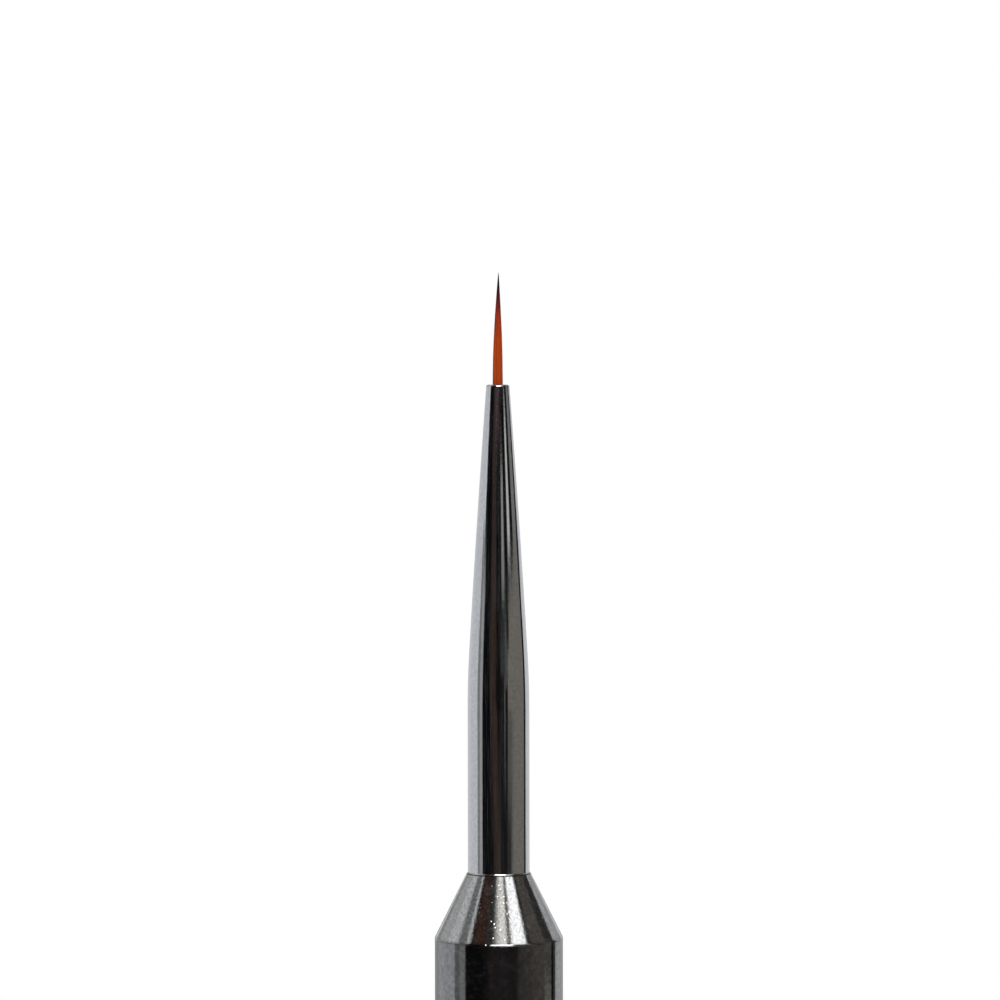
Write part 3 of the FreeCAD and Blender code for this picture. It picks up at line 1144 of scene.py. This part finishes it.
@dataclass
class Tuft:
    """The hair: tapered filaments bound with thread and set in resin at the root.

    Attributes:
        heel_rise: height of the heel, where the taper starts, above the mouth, in mm.
        belly: radius of the arc that the tuft's side follows, in mm.
        point_radius: radius of the tuft at its point, in mm.
        strands: number of filaments.
        sides: sides of one filament.
        filament_share: a filament's radius as a share of the tuft's there.
        uneven: thinnest and thickest filament, as shares of that radius.
        run_out: length of a filament's own point, in mm.
        needle: radius of that point's end, as a share.
        needle_power: power by which it thins towards that end.
        scatter: how far a filament wanders sideways, as a share of the tuft's radius.
        waves: fewest and most waves of that wandering.
        swirl: how far it wanders round the tuft, next to how far it wanders out and in.
        loosening: the wandering is full at one part in this many of the free length.
        short: how far below the point the shortest filament ends, in mm.
        shortening: how fast filaments grow shorter from the tuft's middle outwards.
        full_share: one filament in this many, from the middle, reaches the point.
        aside: how far the tuft stands to the right at the mouth and at the point, in mm.
        aside_power: power of the rise by which it goes from one to the other.
        root_rings: two rings of the buried stretch, above its foot and below the heel, in mm.
        bend_length: length above the heel over which a filament's rings lie close together, in mm.
        bend_rings: rings of a filament there.
        free_rings: rings of a filament above that.
        seed: seed of the random draws.
    """

    heel_rise: float = 0.5
    belly: float = 129.0
    point_radius: float = 0.025
    strands: int = 190
    sides: int = 5
    filament_share: float = 0.075
    uneven: Pair = (0.85, 1.15)
    run_out: float = 2.2
    needle: float = 0.04
    needle_power: float = 0.6
    scatter: float = 0.05
    waves: Pair = (0.5, 1.3)
    swirl: float = 1.2
    loosening: float = 3.0
    short: float = 0.9
    shortening: float = 1.4
    full_share: int = 12
    aside: Pair = (-0.01, 0.06)
    aside_power: float = 1.5
    root_rings: Pair = (3.0, 0.9)
    bend_length: float = 1.2
    bend_rings: int = 7
    free_rings: int = 11
    seed: int = 7

    def side(self, height: np.ndarray, heel: float, point: float, radius: float) -> np.ndarray:
        """The tuft's radius at each height.

        Below the heel it is the root's radius. Above, it follows the arc of radius belly that
        joins the root's radius at the heel to the point's radius at the point: the straight
        line between them, plus half of rise * (length - rise) / belly.

        Args:
            height: heights, in mm.
            heel: height where the taper starts, in mm.
            point: height of the point, in mm.
            radius: the root's radius, in mm.

        Returns:
            Radii, in mm.
        """
        length = point - heel
        rise = np.clip(height - heel, 0, length)
        chord = radius + (self.point_radius - radius) * rise / length
        return chord + rise * (length - rise) / (2 * self.belly)

    def ring_heights(self, foot: float, heel: float, point: float) -> np.ndarray:
        """Heights of a full-length filament's rings, close together just above the heel.

        Args:
            foot: height of the filament's lower end, in mm.
            heel: height where the taper starts, in mm.
            point: height of the point, in mm.

        Returns:
            Heights from the foot to the point, in mm.
        """
        above, below = self.root_rings
        low = np.array([foot, foot + above, heel - below])
        bend = np.linspace(heel - self.heel_rise, heel + self.bend_length, self.bend_rings)
        straight = point - heel - self.bend_length
        free = bend[-1] + straight * np.linspace(0, 1, self.free_rings + 1)[1:]
        return np.concatenate([low, bend, free])

    def skin(self, rings: int) -> list[list[int]]:
        """Faces of every filament: quads between its rings, and a cap at each end.

        Args:
            rings: number of rings of one filament.

        Returns:
            The faces, as numbers of vertices.
        """
        sides = self.sides
        base = np.arange(self.strands)[:, None, None] * rings * sides
        ring = base + np.arange(rings - 1)[None, :, None] * sides
        left = np.arange(sides)[None, None]
        right = (left + 1) % sides
        quads = np.stack([ring + left, ring + right, ring + sides + right, ring + sides + left], -1)
        foot = base[:, 0] + np.arange(sides)[None, ::-1]
        head = base[:, 0] + (rings - 1) * sides + np.arange(sides)[None]
        return quads.reshape(-1, 4).tolist() + foot.tolist() + head.tolist()

    def filaments(self) -> tuple[np.ndarray, np.ndarray, np.ndarray, list[list[int]]]:
        """Places every filament as a thin tapered tube.

        Filament i starts at share sqrt((i + 1/2) / count) of the tuft's radius and at angle
        i * golden angle, which fills the round evenly. Its centre keeps that share of the
        tuft's radius all the way up, drifting by a slow sine of its own. Its own radius is
        filament_share of the tuft's, and runs out over its last stretch.

        Returns:
            Vertices in mm, their rise, their strand shade, and the faces.
        """
        draw = np.random.default_rng(self.seed)
        root, point = Levels.of("hair_root"), Levels.of("hair_tuft").high
        heel = Levels.of("ferrule").high + self.heel_rise
        count, limit = self.strands, 1 - self.filament_share
        step = self.ring_heights(root.low, heel, point)[None]
        order = np.arange(count)
        share = np.sqrt((order + 0.5) / count) * limit
        outer = np.clip(share * self.shortening, 0, 1)
        end = point - self.short * draw.random(count) ** 2 * outer
        end[: count // self.full_share] = point
        cut = ((point - end) / (point - heel))[:, None]
        height = step - np.clip(step - heel, 0, None) * cut
        radius = self.side(height, heel, point, root.radius)
        along = (height - heel) / (point - heel)
        phase = draw.random((2, count, 1)) * 2 * math.pi
        pace = draw.uniform(*self.waves, (2, count, 1)) * 2 * math.pi
        drift = self.scatter * np.clip(along * self.loosening, 0, 1)
        drift = drift * np.sin(pace * along + phase)
        arm = radius * np.minimum(share[:, None] + drift[0], limit)
        turn = (order * GOLDEN_ANGLE)[:, None] + drift[1] * self.swirl
        mouth, tip = self.aside
        set_over = mouth + (tip - mouth) * np.clip(along, 0, 1) ** self.aside_power
        middle = np.stack([arm * np.cos(turn) + set_over, arm * np.sin(turn), height], -1)
        taper = np.clip((end[:, None] - height) / self.run_out, self.needle, 1)
        thick = radius * self.filament_share * draw.uniform(*self.uneven, count)[:, None]
        thick = thick * taper**self.needle_power
        angle = np.arange(self.sides) * 2 * math.pi / self.sides
        circle = np.stack([np.cos(angle), np.sin(angle), np.zeros(self.sides)], 1)
        vertices = middle[:, :, None] + thick[:, :, None, None] * circle[None, None]
        rings = step.shape[1]
        rise = np.repeat(np.clip(along, 0, 1).ravel(), self.sides)
        shade = np.repeat(draw.random(count), rings * self.sides)
        return vertices.reshape(-1, 3), rise, shade, self.skin(rings)

    def build(self) -> None:
        """Makes the hair and dresses it, its binding and its resin."""
        vertices, rise, shade, faces = self.filaments()
        mesh = bpy.data.meshes.new("hair_filaments")
        mesh.from_pydata((vertices * MM).tolist(), [], faces)
        for name, figures in (("rise", rise), ("strand", shade)):
            attribute = mesh.attributes.new(name, "FLOAT", "POINT")
            attribute.data.foreach_set("value", figures.astype(np.float32))
        hair = shaded_object("hair_filaments", mesh, sharp_degrees=80)
        hair.data.materials.append(Filament().build())
        mouth = Levels.of("ferrule").high * MM
        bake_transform(hair)
        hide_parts("hair_tuft", "hair_root")
        log.info("hair_filaments: %d strands, %d faces", self.strands, len(mesh.polygons))
        dress("root_thread", WaxedThread().build())
        dress("root_resin", Resin().build())


# --------------------------------------------------------------------------------------
# The studio
# --------------------------------------------------------------------------------------


@dataclass(frozen=True)
class Card:
    """One card or light of the studio, as the polished metal sees it.

    Azimuth 0 is towards the camera and grows to its right. Elevation is above the horizon.

    Attributes:
        left: azimuth of its left edge, in degrees.
        right: azimuth of its right edge.
        low: elevation of its lower edge.
        high: elevation of its upper edge.
        colour: its colour as the plate shows it.
        soft: blur of its upright edges, in degrees.
        soft_level: blur of its level edges.
        lean: how many degrees it moves left for each degree up.
        gain: how many times brighter than its colour it is.
    """

    left: float
    right: float
    low: float
    high: float
    colour: str
    soft: float = 1.0
    soft_level: float = 0.6
    lean: float = 0.0
    gain: float = 1.0


STUDIO_CARDS = (
    Card(-181, 181, -50, 60, "#8c8c8c", soft_level=12),
    # left light, with a dimmer top
    Card(-165, -86.3, -38, 60, "#b4b6ba", soft_level=8),
    Card(-166, -86.3, 8.5, 40, "#999999", soft_level=2),
    Card(-112, -86.8, 18, 60, "#acacad", soft=6, soft_level=8),
    Card(-174, -139, 5, 40, "#7d7d7e", soft=10, soft_level=3),
    Card(-92, -74, 5.2, 14, "#b8babd", soft_level=0.5),
    # right light
    Card(118, 165, -38, 60, "#b4b6ba", soft_level=8),
    Card(116, 166, 12, 40, "#9a9a9b", soft_level=3),
    Card(136, 176, 5, 40, "#8a8a8b", soft=14, soft_level=3),
    # the dark front, where the camera stands
    Card(-74, 122, -38, 60, "#09090b", soft=2, soft_level=8),
    Card(-86.3, -63, -38, 5.2, "#727374", soft=1.5, soft_level=0.5),
    Card(-75, -63, -38, 4.4, "#8d8d8e", soft=2, soft_level=0.5),
    Card(-88, -68, 15, 60, "#696969", soft=3, soft_level=3),
    Card(-69.5, -62, 15, 50, "#b0b0b0", soft=1.5, soft_level=3),
    # warm furniture behind the camera
    Card(-33, -10, -1.8, 9.4, "#2f2521", soft=10, soft_level=1),
    Card(-31, 9, 9.2, 13, "#3a2b2c", soft=20, soft_level=0.8),
    Card(-41, -18, -7.0, -1.8, "#2f2521", soft=10, soft_level=1, lean=3.8),
    Card(-32, -15, 20, 60, "#2b2a29", soft=6, soft_level=5),
    Card(-57, -30, 20, 60, "#33221b", soft=10, soft_level=5),
    # right grey card
    Card(35, 118, -38, 4.75, "#66625d", soft=4, soft_level=0.8),
    Card(2, 44, 3.7, 5.6, "#121214", soft=5, soft_level=0.6),
    Card(34, 55, -7.2, -3.4, "#4d4a46", soft=18, soft_level=1),
    Card(34, 48, -7.2, -5.2, "#1d1c1b", soft=12, soft_level=1.4),
    Card(84, 118, 4.2, 14, "#6b6a69", soft=5, soft_level=1.5),
    Card(69, 109, 14, 41, "#46423e", soft=2, soft_level=3),
    Card(100, 111, 14, 41, "#2c2a29", soft=8, soft_level=3),
    # what the barrel sees, lower down
    Card(-63, 36, -38, -6.9, "#111113", soft=2, soft_level=0.4),
    Card(-22, 44, -38, -6.9, "#272324", soft=16, soft_level=0.4),
    Card(34, 118, -38, -6.9, "#45423f", soft=10, soft_level=0.4),
    Card(64, 118, -38, -6.9, "#524e4a", soft=16, soft_level=0.4),
    Card(90, 111, -12, -8.2, "#8a8a84", soft=8, soft_level=0.08),
    Card(-190, -138, -38, -6.9, "#8c8e90", soft=22, soft_level=0.4),
    Card(144, 190, -38, -6.9, "#9a9c9e", soft=16, soft_level=0.4),
    # thin bright rods
    Card(8, 36, 0.8, 4.6, "#313131", soft=6, soft_level=1.2),
    Card(4, 36, -6.8, 1.2, "#141415", soft=6, soft_level=1.2),
    Card(22, 25.5, -4.5, 1.0, "#4c4b48", soft=3, soft_level=1.5),
    Card(4, 7, -7.0, -4.0, "#333231", soft=3, soft_level=1.5),
    Card(17, 28.5, 5.3, 8.3, "#848481", soft=7, soft_level=0.8),
    Card(27, 33, -0.5, 4.6, "#484847", soft=4, soft_level=1.0),
    Card(50, 64, 5.5, 8.8, "#b4b3b0", soft=7, soft_level=0.9),
    # black edge between the grey card and the right light
    Card(111, 122.5, -6.9, 12, "#0d0d0e", soft=3.5, soft_level=0.6),
    Card(114, 127, 2.2, 12, "#0f0f10", soft=4, soft_level=1),
    Card(110, 122, 12, 40, "#2a2a2b", soft=4, soft_level=2),
    Card(109, 116, -38, -6.9, "#161617", soft=3, soft_level=0.4),
    # overhead softbox with a bar across it, and the low window under it
    Card(-5, 60, 38, 62, "#e2dfd9", soft=24, soft_level=2),
    Card(18, 27.5, 38, 62, "#56524e", soft=6, soft_level=2),
    Card(30.5, 58, 36, 62, "#ffffff", soft=9, soft_level=2, gain=1.15),
    Card(60, 69, 34, 50, "#2a2827", soft=3, soft_level=3),
    Card(26, 60, 13.5, 36.5, "#737a75", soft=8, soft_level=1, gain=2.0),
    Card(-15, 27, 13.5, 36.5, "#ffffff", soft=6, soft_level=1, gain=6.0),
    # the back of the room: a dark flag between two pale walls
    Card(168, 192, -38, 34, "#35363a", soft=3, soft_level=6),
)

@dataclass(frozen=True)
class Lamp:
    """A square soft lamp that looks at the hair; polished metal doesn't show it.

    Attributes:
        name: the lamp's name.
        place: its place from the ferrule's mouth, in mm.
        size: its side, in mm.
        watts: its power.
    """

    name: str
    place: tuple[float, float, float]
    size: float
    watts: float

    def hang(self) -> None:
        """Hangs the lamp and aims it at the ferrule's mouth."""
        mouth = Levels.of("ferrule").high
        light = bpy.data.lights.new(self.name, "AREA")
        light.size = self.size * MM
        light.energy = self.watts
        lamp = add_object(self.name, light)
        lamp.location = np.array([self.place[0], self.place[1], mouth + self.place[2]]) * MM
        aim = Vector((0, 0, mouth * MM)) - lamp.location
        lamp.rotation_euler = aim.to_track_quat("-Z", "Y").to_euler()
        lamp.visible_glossy = False


STUDIO_LAMPS = (
    Lamp("key_lamp", (-260, -240, 260), 180, 1.6),
    Lamp("fill_lamp", (300, -200, 60), 220, 0.6),
)


@dataclass
class Studio:
    """Plain soft light, a pale floor, and the cards that the plate reflects.

    Attributes:
        plate_reflectance: what the plate gives back, so that a card shows as its colour.
        ceiling: colour overhead.
        ground: colour far below the horizon.
        horizon: elevations between which the ground turns into the ceiling, in degrees.
        soft_light: strength of the even light on everything that isn't polished.
        floor_colour: colour of the matt floor.
        floor_radius: radius of the floor, in mm.
        floor_fade: where the floor starts to thin out and where it is gone, as shares of it.
        floor_sides: number of its sides.
    """

    plate_reflectance: tuple[float, float, float] = (0.55, 0.56, 0.58)
    ceiling: str = "#5a5c60"
    ground: str = "#b9b6b0"
    horizon: Pair = (-20.0, 20.0)
    soft_light: float = 0.75
    floor_colour: str = "#f4f4f3"
    floor_radius: float = 420.0
    floor_fade: Pair = (0.35, 0.98)
    floor_sides: int = 96

    def card_colour(self, colour: str, gain: float = 1.0) -> Colour:
        """The light a card gives off, so that the plate shows it as this colour, times gain."""
        red, green, blue = (gain * c / r for c, r in zip(to_linear(colour), self.plate_reflectance))
        return red, green, blue, 1.0

    def window(
        self,
        tree: Tree,
        figure: Socket,
        low: float,
        high: float,
        soft: float,
        wraps: bool = False,
    ) -> Socket:
        """A mask that is 1 between two angles: smooth in their distance from the middle.

        Args:
            tree: the node tree.
            figure: the angle to test, in degrees.
            low: the lower angle.
            high: the higher angle.
            soft: width of the blur across each edge.
            wraps: True if the angle goes round, as azimuth does.

        Returns:
            The mask.
        """
        half = (high - low) / 2
        away = maths(tree, "SUBTRACT", figure, (low + high) / 2)
        if wraps:
            away = maths(tree, "WRAP", away, -180.0, 180.0)
        edges = (half - soft / 2, half + soft / 2)
        return remap(tree, maths(tree, "ABSOLUTE", away), edges, (1.0, 0.0))

    def cards(self, tree: Tree, azimuth: Socket, elevation: Socket) -> Socket:
        """The room that polished metal sees, with each card laid over those before it.

        Args:
            tree: the node tree.
            azimuth: the bearing looked along, in degrees.
            elevation: its height above the horizon, in degrees.

        Returns:
            The colour there.
        """
        above = remap(tree, elevation, self.horizon)
        ground, ceiling = self.card_colour(self.ground), self.card_colour(self.ceiling)
        colour = mix_colours(tree, above, ground, ceiling)
        for card in STUDIO_CARDS:
            leaning = azimuth
            if card.lean:
                leaning = maths(tree, "MULTIPLY_ADD", elevation, card.lean, azimuth)
            across = self.window(tree, leaning, card.left, card.right, card.soft, wraps=True)
            up = self.window(tree, elevation, card.low, card.high, card.soft_level)
            mask = maths(tree, "MULTIPLY", across, up)
            colour = mix_colours(tree, mask, colour, self.card_colour(card.colour, card.gain))
        return colour

    def light_room(self) -> None:
        """Makes the world: cards for polished metal, even light for the rest, white behind."""
        world = bpy.data.worlds.new("studio")
        world.use_nodes = True
        bpy.context.scene.world = world
        tree = world.node_tree
        tree.nodes.clear()
        place = add_node(tree, "ShaderNodeTexCoord").outputs["Generated"]
        x, y, z = add_node(tree, "ShaderNodeSeparateXYZ", {0: place}).outputs
        bearing = maths(tree, "ARCTAN2", x, maths(tree, "MULTIPLY", y, -1.0))
        azimuth, elevation = (
            maths(tree, "DEGREES", angle) for angle in (bearing, maths(tree, "ARCSINE", z))
        )
        room, even, white = (
            add_node(tree, "ShaderNodeBackground", {"Color": colour, "Strength": strength})
            for colour, strength in (
                (self.cards(tree, azimuth, elevation), 1.0),
                ((1, 1, 1, 1), self.soft_light),
                ((1, 1, 1, 1), 1.0),
            )
        )
        ray = add_node(tree, "ShaderNodeLightPath").outputs
        shader = room
        for kind, other in (("Is Diffuse Ray", even), ("Is Camera Ray", white)):
            inputs = {0: ray[kind], 1: shader.outputs[0], 2: other.outputs[0]}
            shader = add_node(tree, "ShaderNodeMixShader", inputs)
        add_node(tree, "ShaderNodeOutputWorld", {"Surface": shader.outputs[0]})

    def lay_floor(self) -> None:
        """Makes the floor, a matt white disc that thins out into the white round it."""
        low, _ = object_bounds()
        sides, radius = self.floor_sides, self.floor_radius
        angle = np.arange(sides) * 2 * math.pi / sides
        rim = np.stack([np.cos(angle), np.sin(angle), np.zeros(sides)], 1) * radius * MM
        rim[:, 2] = low.z
        mesh = bpy.data.meshes.new("floor")
        mesh.from_pydata(rim.tolist(), [], [list(range(sides))])
        floor = add_object("floor", mesh)
        material, tree = new_material("matt_white_sweep")
        place = add_node(tree, "ShaderNodeTexCoord").outputs["Object"]
        out = add_node(tree, "ShaderNodeVectorMath", {0: place}, operation="LENGTH")
        start, end = (share * radius * MM for share in self.floor_fade)
        faded = remap(tree, out.outputs["Value"], (start, end))
        matt = add_node(tree, "ShaderNodeBsdfDiffuse", {"Color": to_linear(self.floor_colour)})
        clear = add_node(tree, "ShaderNodeBsdfTransparent")
        inputs = {0: faded, 1: matt.outputs[0], 2: clear.outputs[0]}
        finish_material(tree, add_node(tree, "ShaderNodeMixShader", inputs))
        floor.data.materials.append(material)
        floor.visible_glossy = False
        floor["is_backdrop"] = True

    def build(self) -> None:
        """Lights the room, lays the floor and hangs the lamps."""
        self.light_room()
        self.lay_floor()
        for lamp in STUDIO_LAMPS:
            lamp.hang()
        bpy.context.scene.view_settings.view_transform = "Standard"
        log.info("studio: %d cards", len(STUDIO_CARDS))


@dataclass(frozen=True)
class PortraitCamera:
    """A level camera in front of the ferrule.

    Attributes:
        distance: camera to the brush's axis, in mm.
        below_mouth: how far under the ferrule's mouth it stands, in mm.
        aside: how far it stands to the right of the axis, in mm.
        roll: how far it is turned clockwise about its own line of sight, in degrees.
        lens: its focal length, in mm.
        frame_width: width of the frame behind the lens, in mm.
    """

    distance: float = 267.2
    below_mouth: float = 9.0
    aside: float = 0.152
    roll: float = 0.107
    lens: float = 123.1
    frame_width: float = 36.0

    def build(self) -> None:
        """Makes the camera and looks through it."""
        data = bpy.data.cameras.new("portrait")
        data.lens = self.lens
        data.sensor_width = self.frame_width
        data.clip_start = 0.01
        data.clip_end = 10.0
        camera = add_object("portrait", data)
        height = Levels.of("ferrule").high - self.below_mouth
        camera.location = (self.aside * MM, -self.distance * MM, height * MM)
        camera.rotation_euler = (math.pi / 2, math.radians(self.roll), 0.0)
        bpy.context.scene.camera = camera


def main() -> None:
    """Builds the brush from the hair down, then the studio round it."""
    logging.basicConfig(level=logging.INFO, format="%(name)s: %(message)s")
    PortraitCamera().build()
    Tuft().build()
    Ferrule().build()
    Handle().build()
    Studio().build()


if __name__ == "__main__":
    main()
